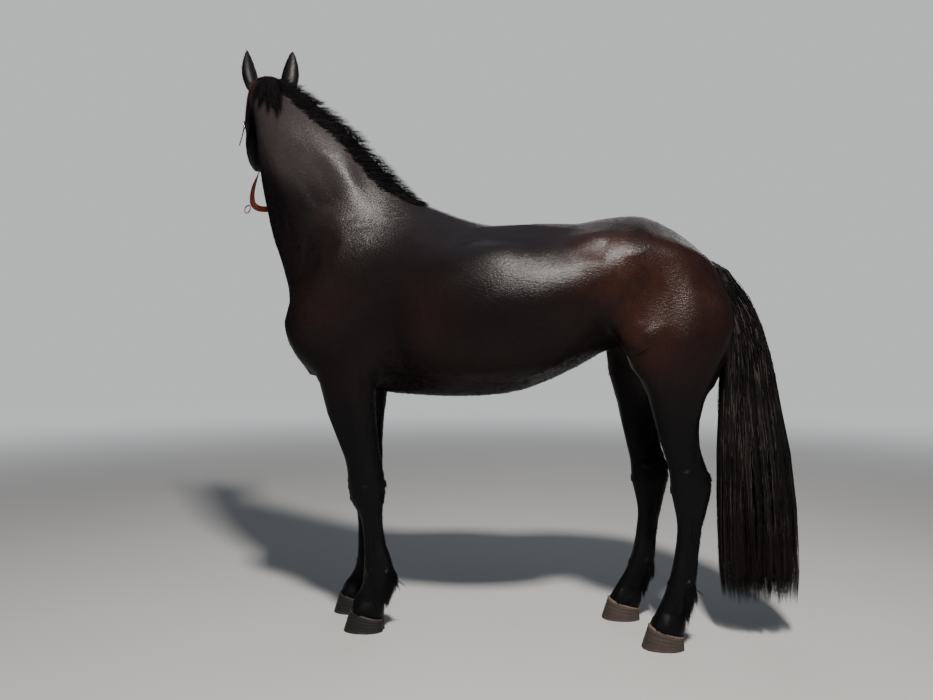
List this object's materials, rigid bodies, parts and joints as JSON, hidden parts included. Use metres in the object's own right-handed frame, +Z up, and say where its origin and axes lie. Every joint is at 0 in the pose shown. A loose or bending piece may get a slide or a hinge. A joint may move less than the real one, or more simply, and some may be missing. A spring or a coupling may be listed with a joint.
{
  "type": "horse, still life-size model",
  "caption": "Dark, close-coated horse standing square with its neck raised and its head turned to the right, with a short mane, a long tail and a leather head halter.",
  "frame": {"origin": "on the floor, under the middle of the model's bounding box; the body's own middle line is 0.155 m to the left of it", "axes": "+Z up, -Y the way the body faces, +X the horse's left side"},
  "size_m": [0.9204, 2.2422, 2.3048],
  "materials": {
    "coat": "short glossy hair, near black with a red-brown cast on the flanks",
    "long_hair": "long straight hair, black-brown",
    "fore_horn": "dark horn with growth rings",
    "hind_horn": "brown-grey horn with growth rings",
    "eye": "wet and glossy",
    "halter_leather": "red-brown, worn satin",
    "chin_leather": "orange-red, satin",
    "halter_metal": "bright, lightly worn"
  },
  "bodies": {
    "root": {"ear_left": "coat", "ear_right": "coat", "eye_left": "eye", "eye_right": "eye", "foreleg_left": "coat", "foreleg_right": "coat", "forelock": "long_hair", "halter_buckle": "halter_metal", "halter_chin_ring": "halter_metal", "halter_chin_strap": "chin_leather", "halter_crown": "halter_leather", "halter_noseband": "halter_leather", "halter_ring_left": "halter_metal", "halter_ring_right": "halter_metal", "halter_strap_end": "halter_leather", "head": "coat", "hindleg_left": "coat", "hindleg_right": "coat", "hindquarters": "coat", "hoof_fore_left": "fore_horn", "hoof_fore_right": "fore_horn", "hoof_hind_left": "hind_horn", "hoof_hind_right": "hind_horn", "mane": "long_hair", "neck": "coat", "tail": "long_hair", "trunk": "coat"}
  },
  "joints": []
}
